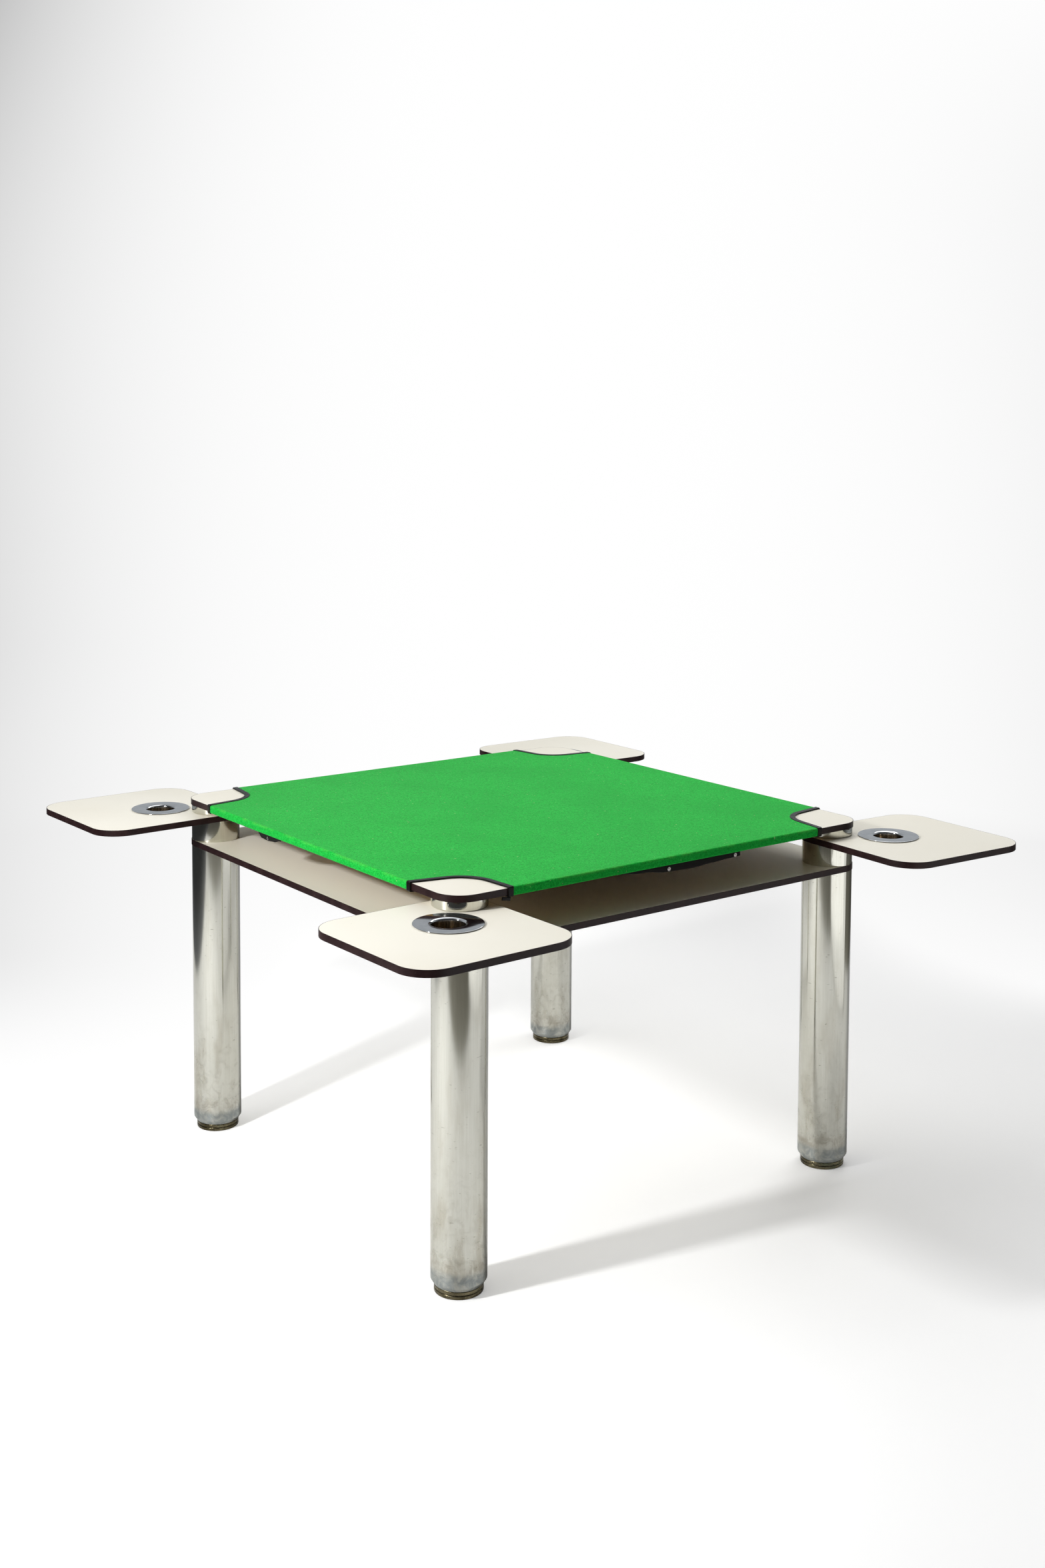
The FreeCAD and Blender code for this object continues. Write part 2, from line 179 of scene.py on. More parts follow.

# %% [markdown]
# A finish is a material together with its main shader. One method adds any node: it sets it up and links
# its inputs. The others are the few patterns and mixes that this table's finishes are made of.

# %% A short way to write finishes
class Finish:
    """A material, or the world, as its main shader and the nodes that vary it."""

    def __init__(self, name, owner=None, shader="Principled BSDF", **sockets):
        self.owner = owner or bpy.data.materials.new(name)
        self.owner.use_nodes = True
        self.tree = self.owner.node_tree
        self.shader = self.tree.nodes[shader]
        for socket, value in sockets.items():
            self.shader.inputs[socket.replace("_", " ")].default_value = value

    def add(self, kind, settings=None, inputs=None, output=0):
        """Any node, by its type, its settings and the values or links of its sockets."""
        node = self.tree.nodes.new(kind)
        for setting, value in (settings or {}).items():
            setattr(node, setting, value)
        for key, value in (inputs or {}).items():
            if isinstance(value, Part):
                self.tree.links.new(value.socket, node.inputs[key])
            else:
                node.inputs[key].default_value = value
        return Part(self, node.outputs[output])

    def feed(self, socket, value):
        self.tree.links.new(value.socket, self.shader.inputs[socket])

    def place(self):
        return self.add("ShaderNodeTexCoord", output="Object")

    def chart(self):
        """The map that a spin leaves: U runs round the piece and V up it."""
        return self.add("ShaderNodeUVMap", {"uv_map": "around"})

    def split(self, vector):
        """A vector's X, Y and Z."""
        node = self.add("ShaderNodeSeparateXYZ", None, {0: vector}).socket.node
        return [Part(self, output) for output in node.outputs]

    def stretched(self, scale, turn=(0, 0, 0)):
        """Object coordinates scaled and turned before a pattern reads them."""
        inputs = {"Vector": self.place(), "Scale": scale, "Rotation": turn}
        return self.add("ShaderNodeMapping", None, inputs)

    def noise(self, scale, detail=2.0, rough=0.5, vector=None, bend=0.0):
        inputs = {"Vector": vector or self.place(), "Scale": scale, "Detail": detail}
        return self.add("ShaderNodeTexNoise", None, {**inputs, "Roughness": rough, "Distortion": bend})

    def colour(self, amount, low, high):
        """Two colours mixed by amount; either may itself be a mix."""
        low, high = (tone if isinstance(tone, Part) else (*tone, 1) for tone in (low, high))
        return self.add("ShaderNodeMix", {"data_type": "RGBA"}, {"Factor": amount, 6: low, 7: high}, output=2)

    def bump(self, height, strength, distance):
        inputs = {"Height": height, "Strength": strength, "Distance": distance}
        self.feed("Normal", self.add("ShaderNodeBump", None, inputs))

    def count(self):
        print(self.owner.name, "has", len(self.tree.nodes), "nodes")


print("finishes are ready to make")

# %% [markdown]
# A few operators make almost every piece here. Whatever they made, the bmesh ends the same way: it becomes
# a mesh that is smooth but for real corners, on an object that rides on its body and stands for its imported
# nodes.

# %% Make a piece from a bmesh
def finish_mesh(bm, mesh):
    """Writes the bmesh to the mesh, smooth but for real corners, and frees it."""
    for face in bm.faces:
        face.smooth = True
    for edge in bm.edges:
        edge.smooth = edge.is_boundary or edge.calc_face_angle(0) < radians(32)
    bm.to_mesh(mesh)
    bm.free()


def solid(name, bm, finish, place=None):
    """An object at the origin with the bmesh's shape; a place, if given, is moved into the mesh."""
    if place:
        bmesh.ops.transform(bm, matrix=place, verts=bm.verts)
    mesh = bpy.data.meshes.new(name)
    finish_mesh(bm, mesh)
    piece = bpy.data.objects.new(name, mesh)
    bpy.context.collection.objects.link(piece)
    mesh.materials.append(finish.owner)
    return piece


def settle(piece, body, slot, *nodes):
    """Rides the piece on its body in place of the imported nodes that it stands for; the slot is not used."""
    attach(piece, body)
    if nodes:
        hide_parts(*nodes)
    return piece


def paint(node, finish):
    """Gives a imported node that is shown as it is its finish."""
    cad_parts[node].data.materials.clear()
    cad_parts[node].data.materials.append(finish.owner)


# %% [markdown]
# Holes and cut-outs are made with a second shape that is taken away from the first. The Boolean modifier
# does it exactly, and we keep its result as the piece's own mesh, so nothing is left to work out later.

# %% Cut a piece with others
def carve(piece, *cuts, keep=False):
    """Cuts the other pieces out of this one, or keeps only what they share, and deletes them."""
    for cut in cuts:
        step = piece.modifiers.new("carve", "BOOLEAN")
        step.operation = "INTERSECT" if keep else "DIFFERENCE"
        step.solver, step.object = "EXACT", cut
    bpy.context.view_layer.update()
    evaluated = piece.evaluated_get(bpy.context.evaluated_depsgraph_get())
    carved = bpy.data.meshes.new_from_object(evaluated)
    piece.modifiers.clear()
    bm = bmesh.new()
    bm.from_mesh(carved)
    finish_mesh(bm, carved)
    piece.data = carved
    for cut in cuts:
        bpy.data.objects.remove(cut)
    return piece


def even(piece):
    """Lets wide faces keep their own shading where they meet narrow rounded ones."""
    step = piece.modifiers.new("even", "WEIGHTED_NORMAL")
    step.keep_sharp = True
    return piece


print("carving is ready")

# %% [markdown]
# Legs, cups and feet are round, so each is a profile turned about an upright axis. Metal never has a knife
# edge: a profile's corner carries its own rounding, which becomes a short arc. The spin also leaves a map
# in metres, so that wear can be placed by height.

# %% Spin a profile
ARC_STEPS = 6


def rounded(*points):
    """A profile's (radius, height, rounding) corners as points, each rounded corner as a short arc."""
    line = []
    for i, (x, z, r) in enumerate(points):
        here = Vector((x, z))
        if not r:
            line.append(here)
            continue
        a = (Vector(points[i - 1][:2]) - here).normalized()
        b = (Vector(points[(i + 1) % len(points)][:2]) - here).normalized()
        half = a.angle(b) / 2
        reach, depth = r / abs(tan(half)), r / sin(half)
        centre = here + (a + b).normalized() * depth
        first, last = (here + a * reach - centre) / r, (here + b * reach - centre) / r
        line += [centre + first.slerp(last, k / ARC_STEPS) * r for k in range(ARC_STEPS + 1)]
    return line


def spun(profile, steps=128):
    """The closed profile turned about the Z axis, with a map whose U runs round it and V up it in metres."""
    turn = {"cent": (0, 0, 0), "axis": (0, 0, 1), "angle": tau, "steps": steps}
    bm = bmesh.new()
    ring = [bm.verts.new((p[0], 0, p[1])) for p in profile]
    edges = [bm.edges.new(pair) for pair in zip(ring, ring[1:] + ring[:1])]
    bmesh.ops.spin(bm, geom=ring + edges, use_merge=True, **turn)
    bmesh.ops.remove_doubles(bm, verts=bm.verts, dist=1e-6)
    bmesh.ops.recalc_face_normals(bm, faces=bm.faces)
    chart = bm.loops.layers.uv.new("around")
    for face in bm.faces:
        turns = [atan2(loop.vert.co.y, loop.vert.co.x) / tau for loop in face.loops]
        for loop, t in zip(face.loops, turns):
            loop[chart].uv = (t + 1 if max(turns) - t > 0.5 else t, loop.vert.co.z)
    return bm


print("an arc has", ARC_STEPS, "steps")

# %% [markdown]
# Every board here is a square with round corners: a cube brought to size, its four upright edges bevelled.
# One of them may have its own radius, because a tray's corner at the pivot matches the corner of the top.

# %% Round the corners of a board
FLAT = 1e-6


def softened(bm, edges, width, steps):
    bmesh.ops.bevel(bm, geom=edges, offset=width, offset_type="OFFSET", segments=steps, profile=0.5,
                    affect="EDGES", material=-1)


def climb(edge):
    """How much higher one end of an edge is than the other."""
    return abs(edge.verts[0].co.z - edge.verts[1].co.z)


def block(low, high, radius, bottom, top, rim=0.0, rim_steps=2, pivot=None):
    """A square board from low to high both ways with round upright edges, the low one to its own radius."""
    bm = bmesh.new()
    bmesh.ops.create_cube(bm, size=1)
    middle, side = (low + high) / 2, high - low
    bmesh.ops.scale(bm, vec=(side, side, top - bottom), verts=bm.verts)
    bmesh.ops.translate(bm, vec=(middle, middle, (bottom + top) / 2), verts=bm.verts)
    upright = [e for e in bm.edges if climb(e) > FLAT]
    at_pivot = [e for e in upright if pivot and e.verts[0].co.xy.length < abs(low) * 1.5]
    softened(bm, [e for e in upright if e not in at_pivot], radius, 20)
    if pivot:
        softened(bm, at_pivot, pivot, 20)
    if rim:
        softened(bm, [e for e in bm.edges if climb(e) < FLAT], rim, rim_steps)
    return bm


def rod(radius, bottom, top, x=0.0, y=0.0, steps=96):
    """An upright round bar, to drill a hole with."""
    bm = bmesh.new()
    size = {"radius1": radius, "radius2": radius, "depth": top - bottom}
    bmesh.ops.create_cone(bm, cap_ends=True, segments=steps, **size)
    bmesh.ops.translate(bm, vec=(x, y, (bottom + top) / 2), verts=bm.verts)
    return bm


print("a board is", round(TOP_HIGH - TOP_LOW, 4), "thick")

# %% [markdown]
# The laminate is an ivory melamine sheet, satin and a little warm. Real sheets are never one flat tone: we
# add a slow drift of tone, a fine pebble that breaks up the gloss, and a few faint scuffs and crumbs of
# dirt.

# %% Ivory laminate
laminate = Finish("ivory_laminate", Roughness=0.40, Specular_IOR_Level=0.22)
drift = laminate.noise(3.0, 3.0)
pebble = laminate.noise(900.0, 2.0)
scuff = laminate.noise(60.0, 4.0, 0.7, laminate.stretched((1, 6, 1), (0, 0, 0.7))).ramp(0.62, 0.78)
speck = laminate.noise(210.0, 1.0).ramp(0.79, 0.83)
ivory = laminate.colour(drift.ramp(0.3, 0.7), (0.81, 0.775, 0.67), (0.85, 0.82, 0.725))
laminate.feed("Base Color", laminate.colour(speck * 0.45, ivory, (0.33, 0.27, 0.19)))
laminate.feed("Roughness", 0.34 + pebble * 0.10 + scuff * 0.14)
laminate.bump(pebble, 0.12, 0.0004)
laminate.count()

# %% [markdown]
# The boards' edges wear a brown-black plastic band with a hint of burgundy. It is smooth along its length
# and has tiny nicks. Its gloss is kept low, so that it stays dark where the backdrop mirrors in it.

# %% Edge band
edging = Finish("brown_black_edging", Specular_IOR_Level=0.2)
along = edging.noise(35.0, 3.0)
nick = edging.noise(260.0, 2.0).ramp(0.70, 0.78)
dark_brown = edging.colour(along.ramp(0.35, 0.7), (0.015, 0.0055, 0.0060), (0.026, 0.0115, 0.0115))
edging.feed("Base Color", edging.colour(nick * 0.35, dark_brown, (0.14, 0.10, 0.085)))
edging.feed("Roughness", 0.32 + along * 0.14 + nick * 0.2)
edging.bump(edging.noise(420.0, 2.0), 0.08, 0.0004)
edging.count()

# %% [markdown]
# Nobody sees the underside of the top, so makers give it a cheap brown backing sheet, which keeps the board
# flat. It matters all the same: light that bounces off it turns the shelf below brown.

# %% Brown backing sheet
backing = Finish("brown_backing", Roughness=0.6, Specular_IOR_Level=0.3)
fibre = backing.noise(1.0, 4.0, 0.6, backing.stretched((30, 400, 400)))
backing.feed("Base Color", backing.colour(fibre, (0.38, 0.25, 0.115), (0.48, 0.33, 0.16)))
backing.bump(fibre, 0.1, 0.0003)
backing.count()

# %% [markdown]
# Under the laminate is particle board: pressed wood chips, seen only at the trays' cup holes. A cell
# pattern gives each chip its own tone.

# %% Particle board
chipboard = Finish("particle_board", Roughness=0.85)
cells = {"Vector": chipboard.stretched((1, 1.6, 2.5)), "Scale": 420.0}
chips = chipboard.add("ShaderNodeTexVoronoi", None, cells, output="Color")
chip_tone = chipboard.add("ShaderNodeSeparateColor", None, {0: chips})
chipboard.feed("Base Color", chipboard.colour(chip_tone, (0.34, 0.22, 0.11), (0.62, 0.46, 0.28)))
chipboard.bump(chip_tone, 0.4, 0.0006)
chipboard.count()

# %% [markdown]
# The boards are the same construction three times over: two thin laminate sheets with a core between them,
# and one band glued round all three layers, then trimmed flush and its corners eased with a file. Each
# sheet is a block one laminate thick; the band is a block's wall given a thickness inwards.

# %% Sheets and bands
def sheet_block(low, high, radius, bottom, pivot=None):
    """One laminate sheet of a board that reaches from low to high with its band on."""
    inner = pivot and pivot - BAND
    return block(low + BAND, high - BAND, radius - BAND, bottom, bottom + LAMINATE, pivot=inner)


def sheets(name, low, high, radius, bottom, top, pivot=None):
    """The two laminate sheets of a board as one piece."""
    bm = sheet_block(low, high, radius, bottom, pivot)
    over = sheet_block(low, high, radius, top - LAMINATE, pivot)
    spare = bpy.data.meshes.new("spare")
    over.to_mesh(spare)
    over.free()
    bm.from_mesh(spare)
    return solid(name, bm, laminate)


def band(name, low, high, radius, bottom, top, pivot=None):
    """The edging round the board: a block without lid or floor, given a thickness, its outer edges eased."""
    eased = 0.0003
    bm = block(low, high, radius, bottom, top, pivot=pivot)
    bmesh.ops.delete(bm, geom=[f for f in bm.faces if abs(f.normal.z) > 0.5], context="FACES")
    bmesh.ops.solidify(bm, geom=bm.faces[:], thickness=BAND)
    bmesh.ops.recalc_face_normals(bm, faces=bm.faces)
    middle = Vector(((low + high) / 2, (low + high) / 2, 0))
    outer = []
    for edge in bm.edges:
        wall = [f for f in edge.link_faces if abs(f.normal.z) < 0.5]
        if climb(edge) < FLAT and wall and wall[0].normal.dot(middle - edge.verts[0].co) < 0:
            outer.append(edge)
    softened(bm, outer, eased, 2)
    return solid(name, bm, edging)


top_size = -TOP_HALF, TOP_HALF, CORNER, TOP_LOW, TOP_HIGH
shelf_size = -SHELF_HALF, SHELF_HALF, SHELF_CORNER, SHELF_LOW, SHELF_HIGH
tray_size = -CORNER, TRAY_SIDE - CORNER, TRAY_CORNER, TRAY_LOW, TRAY_HIGH, CORNER
print("top", top_size, "shelf", shelf_size, "tray", tray_size)

# %% [markdown]
# The top has ivory laminate above and the brown backing below; the shelf is ivory on both sides. Their
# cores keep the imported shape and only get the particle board.

# %% Top and shelf
upper = solid("top_sheet", sheet_block(-TOP_HALF, TOP_HALF, CORNER, TOP_HIGH - LAMINATE), laminate)
settle(upper, "table", "laminate", "top_laminate_upper")
lower = solid("top_backing", sheet_block(-TOP_HALF, TOP_HALF, CORNER, TOP_LOW), backing)
settle(lower, "table", "laminate", "top_laminate_lower")
shelf = sheets("shelf_sheets", *shelf_size)
settle(shelf, "table", "laminate", "shelf_laminate_upper", "shelf_laminate_lower")
for name, size in (("top", top_size), ("shelf", shelf_size)):
    settle(even(band(name + "_edging", *size)), "table", "edge_band", name + "_edge_band")
    paint(name + "_core", chipboard)
print("top sheet has", len(upper.data.polygons), "faces")

# %% [markdown]
# A tray is the same board again, 320 mm square, with a hole for its cup and one for the tie bolt. It is
# built about its pivot for each corner and turned the few degrees the photograph shows.

# %% Trays
cup_hole_radius, bolt_hole_radius = 0.0345, 0.0101
drill_low, drill_high = 0.64, 0.67
for corner in corners:
    place = leg_place(corner, tray=True)
    tray = sheets("tray_sheets_" + corner, *tray_size)
    cup_drill = rod(cup_hole_radius, drill_low, drill_high, CUP_PLACE, CUP_PLACE)
    bolt_drill = rod(bolt_hole_radius, drill_low, drill_high, steps=48)
    carve(tray, solid("cup_hole", cup_drill, laminate), solid("bolt_hole", bolt_drill, laminate))
    rim = even(band("tray_edging_" + corner, *tray_size))
    for piece in (tray, rim):
        piece.data.transform(place)
    settle(tray, "tray_" + corner, "laminate", "tray_laminates_" + corner)
    settle(rim, "tray_" + corner, "edge_band", "tray_edge_band_" + corner)
    paint("tray_core_" + corner, chipboard)
print("last tray has", len(tray.data.polygons), "faces")

# %% [markdown]
# The legs are polished steel tube. Near the top they are almost a mirror; lower down years of mopping and
# shoes have left a grey haze, fine scratches, spots and a tide mark just above the foot. The map made by
# the spin runs round and up the tube, so every mark can be placed by height. The polish blurs reflections
# lengthways, which Anisotropic gives. On the side that turns away to the right, where the tube is seen at a
# grazing angle, a dark reflection of the studio is painted into the colour.

# %% Polished steel
def polished_steel(name, haze=True):
    """Worn polished tube, hazed towards the floor or not, with a dark reflection painted down one side."""
    steel = Finish(name, Metallic=1.0, Anisotropic=0.8, Anisotropic_Rotation=0.25)
    turn, height, _ = steel.split(steel.chart())
    facing = steel.add("ShaderNodeLayerWeight", None, {"Blend": 0.5}, output="Facing")
    # Painted reflection: faces seen at a grazing angle on one side of the tube are darkened in the colour.
    edge = facing.ramp(0.50, 0.76) * (turn - 0.147).distance().ramp(0.16, 0.09)
    cloud = steel.noise(9.0, 5.0, 0.6)
    brushed = steel.noise(1.0, 3.0, 0.6, steel.stretched((700, 700, 9)))
    blotch = steel.noise(48.0, 5.0, 0.68, bend=0.8)
    smear = steel.noise(1.0, 4.0, 0.62, steel.stretched((34, 34, 9), (0.0, 0.5, 0.0))).ramp(0.46, 0.72)
    dash = steel.noise(1.0, 1.0, 0.5, steel.stretched((110, 110, 520), (0.9, 0.35, 0))).ramp(0.73, 0.77)
    spots = steel.noise(170.0, 2.0).ramp(0.74, 0.80)
    low = height.ramp(0.36, 0.03) if haze else height * 0.0
    tide = (height + cloud * 0.05 - 0.078).distance().ramp(0.030, 0.0) if haze else height * 0.0
    bottom = (height + cloud * 0.02).ramp(0.060, 0.044) if haze else height * 0.0
    tone = steel.colour(brushed.ramp(0.3, 0.7), (0.635, 0.63, 0.56), (0.70, 0.695, 0.63))
    tone = steel.colour(smear * (0.18 + low * 0.30), tone, (0.42, 0.375, 0.28))
    tone = steel.colour(blotch.ramp(0.46, 0.72) * low * 0.42, tone, (0.44, 0.42, 0.35))
    tone = steel.colour(tide * blotch.ramp(0.34, 0.66) * 0.5, tone, (0.33, 0.29, 0.22))
    tone = steel.colour(bottom * (blotch.ramp(0.3, 0.6) * 0.5 + 0.25), tone, (0.25, 0.285, 0.30))
    # The painted dark reflection goes into the colour here.
    tone = steel.colour(edge * 0.85, tone, (0.08, 0.08, 0.068))
    tone = steel.colour(spots * (0.10 + low * 0.35), tone, (0.16, 0.14, 0.10))
    steel.feed("Base Color", steel.colour(dash * 0.5, tone, (0.24, 0.22, 0.17)))
    wear = 0.08 + brushed * 0.03 + smear * (0.02 + low * 0.08) + low * 0.12
    wear = wear + blotch.ramp(0.4, 0.8) * low * 0.10
    steel.feed("Roughness", wear + tide * 0.08 + bottom * 0.12 + dash * 0.15)
    steel.bump(brushed * 0.2 + cloud * 2.0 + dash * 0.4, 0.05 if haze else 0.03, 0.0004)
    steel.count()
    return steel


tube_steel, disc_steel = polished_steel("polished_leg"), polished_steel("polished_disc", haze=False)

# %% [markdown]
# The leg's profile is a tube wall whose lower end is turned in to meet the foot, with the edge broken
# rather than sharp. The spacer above the shelf is the same tube cut short, and the disc under the top is
# solid with a softly rounded lower edge.

# %% Legs, spacers and discs
wall, turned_in, broken, bolt_bore = 0.002, 0.006, 0.0005, 0.0061
inner, end_radius = LEG_RADIUS - wall, LEG_RADIUS - turned_in
leg_low = span(Z, "leg_tube_front_left")[0]
shoulder = tenth(leg_low + 0.0085)
spacer_high = span(Z, "spacer_tube_front_left")[1]
disc_low = span(Z, "pivot_disc_front_left")[0]
leg_profile = rounded(
    (end_radius, leg_low, 0.0006), (LEG_RADIUS, shoulder, 0.004), (LEG_RADIUS, SHELF_LOW, 0),
    (inner, SHELF_LOW, 0), (inner, shoulder, 0), (end_radius - wall, leg_low, 0))
spacer_profile = rounded(
    (LEG_RADIUS, SHELF_HIGH, broken), (LEG_RADIUS, spacer_high, broken), (inner, spacer_high, 0),
    (inner, SHELF_HIGH, 0))
disc_profile = rounded(
    (bolt_bore, disc_low, 0), (LEG_RADIUS, disc_low, 0.0022), (LEG_RADIUS, TOP_LOW, 0),
    (bolt_bore, TOP_LOW, 0))
stack = {
    "leg_tube_": (leg_profile, tube_steel),
    "spacer_tube_": (spacer_profile, tube_steel),
    "pivot_disc_": (disc_profile, disc_steel),
}
for corner in corners:
    for name, (profile, metal) in stack.items():
        tube = solid("round_" + name + corner, spun(profile), metal, leg_place(corner))
        settle(tube, "table", "leg_steel", name + corner)
print("leg from", leg_low, "to", SHELF_LOW, "spacer to", spacer_high, "disc from", disc_low)

# %% [markdown]
# The levelling foot is turned steel with a yellow zinc plate, dull with age, which still shows faint tints.
# Two rims stand either side of a groove, and a stem runs up into the leg.

# %% Levelling feet
zinc = Finish("yellow_zinc", Metallic=1.0, Roughness=0.3)
tint = zinc.noise(30.0, 3.0, 0.6, bend=0.8)
gold = zinc.colour(tint.ramp(0.35, 0.6), (0.075, 0.062, 0.034), (0.19, 0.165, 0.100))
gold = zinc.colour(tint.ramp(0.55, 0.72) * 0.6, gold, (0.08, 0.11, 0.075))
grime = zinc.noise(120.0, 4.0, 0.7).ramp(0.5, 0.75)
zinc.feed("Base Color", zinc.colour(grime * 0.6, gold, (0.055, 0.047, 0.034)))
zinc.feed("Roughness", 0.26 + grime * 0.3)
zinc.bump(grime, 0.15, 0.0004)
zinc.count()

rim, groove, stem = 0.0425, 0.0409, 0.008
stem_high = span(Z, "foot_front_left")[1]
foot_profile = rounded(
    (0, 0, 0), (rim, 0, 0.0014), (rim, 0.0062, 0.0014), (groove, 0.0066, 0.0003), (groove, 0.0074, 0.0003),
    (rim, 0.0078, 0.0012), (rim, 0.0137, 0.0016), (stem, 0.0137, 0), (stem, stem_high, 0), (0, stem_high, 0))
for corner in corners:
    foot = solid("turned_foot_" + corner, spun(foot_profile), zinc, leg_place(corner))
    settle(foot, "foot_" + corner, "foot_metal", "foot_" + corner)
print("foot has", len(foot.data.polygons), "faces")

# %% [markdown]
# The cup is spun from thin sheet and chromed: a broad flange, a rolled lip round the throat, and a deep
# bowl. Inside the bowl, below the lip, shade and brown reflections are painted into the colour as a darker
# brown with upright streaks. Its flange is bright with a cool cast and is undercut at the rim, so that a thin
# shadow parts it from the tray; the painted shade is placed by height on the map.

# %% Chrome
cup_low, cup_high = span(Z, "cup_front_left")
chrome = Finish("chromed_cup", Metallic=1.0)
_, height, _ = chrome.split(chrome.chart())
# Painted shade and reflection: the bowl below the lip is coloured darker and browner, with upright streaks.
inside = height.ramp(cup_high - 0.001, cup_high - 0.0078)
stain = chrome.noise(70.0, 4.0, 0.6)
bright = chrome.colour(stain.ramp(0.3, 0.8), (0.52, 0.53, 0.54), (0.62, 0.62, 0.62))
streak = chrome.noise(1.0, 3.0, 0.6, chrome.stretched((260, 260, 8)))
bowl_painted_shade = chrome.colour(streak.ramp(0.35, 0.65), (0.12, 0.085, 0.052), (0.34, 0.275, 0.19))
chrome.feed("Base Color", chrome.colour(inside, bright, bowl_painted_shade))
chrome.feed("Roughness", 0.06 + stain * 0.05 + inside * 0.12)
chrome.bump(chrome.noise(45.0, 2.0), 0.02, 0.0004)
chrome.count()

# %% [markdown]
# The cup's profile starts at the middle of the bowl's floor, climbs its wall, rolls over the lip and runs
# out to the flange's edge. It comes back one thickness lower, so the spin closes into a solid sheet.

# %% Cups
thick, flange, undercut = 0.002, 0.05875, 0.0024
throat, bowl = 0.0284, 0.0265
seat, bowl_floor = tenth(cup_high - thick), tenth(cup_low + thick)
cup_profile = rounded(
    (0, bowl_floor, 0), (bowl, bowl_floor, 0.008), (throat, cup_high, 0.0045), (flange, cup_high, 0.0008),
    (flange, seat + 0.0011, 0.0003), (flange - undercut, seat, 0), (throat + 0.0018, seat, 0.004),
    (bowl + thick, cup_low, 0.01), (0, cup_low, 0))
for corner in corners:
    lift = leg_place(corner, tray=True) @ Matrix.Translation((CUP_PLACE, CUP_PLACE, 0))
    cup = solid("spun_cup_" + corner, spun(cup_profile), chrome, lift)
    settle(cup, "cup_" + corner, "cup_chrome", "cup_" + corner)
print("cup from", cup_low, "to", cup_high)

# %% [markdown]
# Inside the stack are the parts that only show when something is lifted: plugs, caps, bolts and washers in
# dull zinc, and a brass bush in each tray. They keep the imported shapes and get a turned, slightly oily
# finish.

# %% Inner metal
dull_zinc = Finish("dull_zinc", Metallic=1.0)
mottled = dull_zinc.noise(140.0, 3.0, 0.6)
dull_zinc.feed("Base Color", dull_zinc.colour(mottled.ramp(0.3, 0.7), (0.38, 0.39, 0.40), (0.56, 0.57, 0.57)))
dull_zinc.feed("Roughness", 0.35 + mottled * 0.2)
dull_zinc.count()
brass = Finish("turned_brass", Metallic=1.0)
lathe = brass.noise(1.0, 2.0, 0.5, brass.stretched((40, 40, 2500)))
brass.feed("Base Color", brass.colour(lathe, (0.50, 0.34, 0.12), (0.68, 0.50, 0.22)))
brass.feed("Roughness", 0.22 + lathe * 0.2)
brass.count()
for node in ("leg_plugs", "leg_heads", "spacer_caps", "tie_bolts", "bolt_washers", "disc_screws"):
    paint(node, dull_zinc)
for corner in corners:
    paint("tray_bush_" + corner, brass)

# %% [markdown]
# Baize is felted wool. Up close it is a mat of fibres: fine speckle in the colour and in the surface, slow
# patches where the nap lies differently, a pale line along the folded edges that is partly rubbed fibres and
# partly a painted highlight, and a few crumbs. The fold is found by place: farthest from the middle both
# ways, and near the top's height.

# %% Baize
sheen = dict(Sheen_Weight=0.12, Sheen_Roughness=0.4, Sheen_Tint=(0.85, 1.0, 0.85, 1))
baize = Finish("green_baize", Roughness=0.95, Specular_IOR_Level=0.01, **sheen)
fuzz = baize.noise(1500.0, 3.0, 0.7)
nap = baize.noise(420.0, 3.0, 0.75)
patch = baize.noise(7.0, 3.0, 0.5)
lint = baize.noise(170.0, 1.0).ramp(0.77, 0.80)
spot_x, spot_y, spot_z = baize.split(baize.place())
farthest = larger(spot_x.distance(), spot_y.distance())
fold = farthest.ramp(0.4855, 0.4905) * spot_z.ramp(0.6860, 0.6905)
# Partly painted highlight: a pale line along the fold, broken up by noise, that also stands for rubbed
# fibres.
rubbed_and_highlight = fold * baize.noise(26.0, 4.0, 0.7).ramp(0.38, 0.62)
green = baize.colour(fuzz.ramp(0.3, 0.7), (0.003, 0.29, 0.030), (0.010, 0.50, 0.052))
green = baize.colour(nap.ramp(0.44, 0.62) * 0.6, green, (0.030, 0.62, 0.080))
green = baize.colour(nap.ramp(0.50, 0.36) * 0.6, green, (0.002, 0.21, 0.020))
green = baize.colour(patch.ramp(0.35, 0.7) * 0.3, green, (0.005, 0.32, 0.034))
green = baize.colour(rubbed_and_highlight * 0.12, green, (0.30, 0.66, 0.14))
baize.feed("Base Color", baize.colour(lint * 0.5, green, (0.62, 0.58, 0.36)))
baize.bump(fuzz + nap * 1.5, 0.5, 0.0008)
baize.count()

# %% [markdown]
# The cloth's corners are cut away round each leg. The shape to cut with is a hull: its inner edge is an arc
# about the leg's axis with two flared sides, and it covers all of the corner beyond. The same hull, spread
# a little more or less, later gives the tape its two edges.

# %% Corner cut-outs
notches = {  # each cut's radius, and its turn in degrees
    "front_left": (0.060, 0),
    "front_right": (0.060, -4),
    "back_right": (0.064, 0),
    "back_left": (0.060, 0),
}
FLARE, REACH = radians(8), 0.062
HULL_LOW, HULL_HIGH = 0.66, 0.70


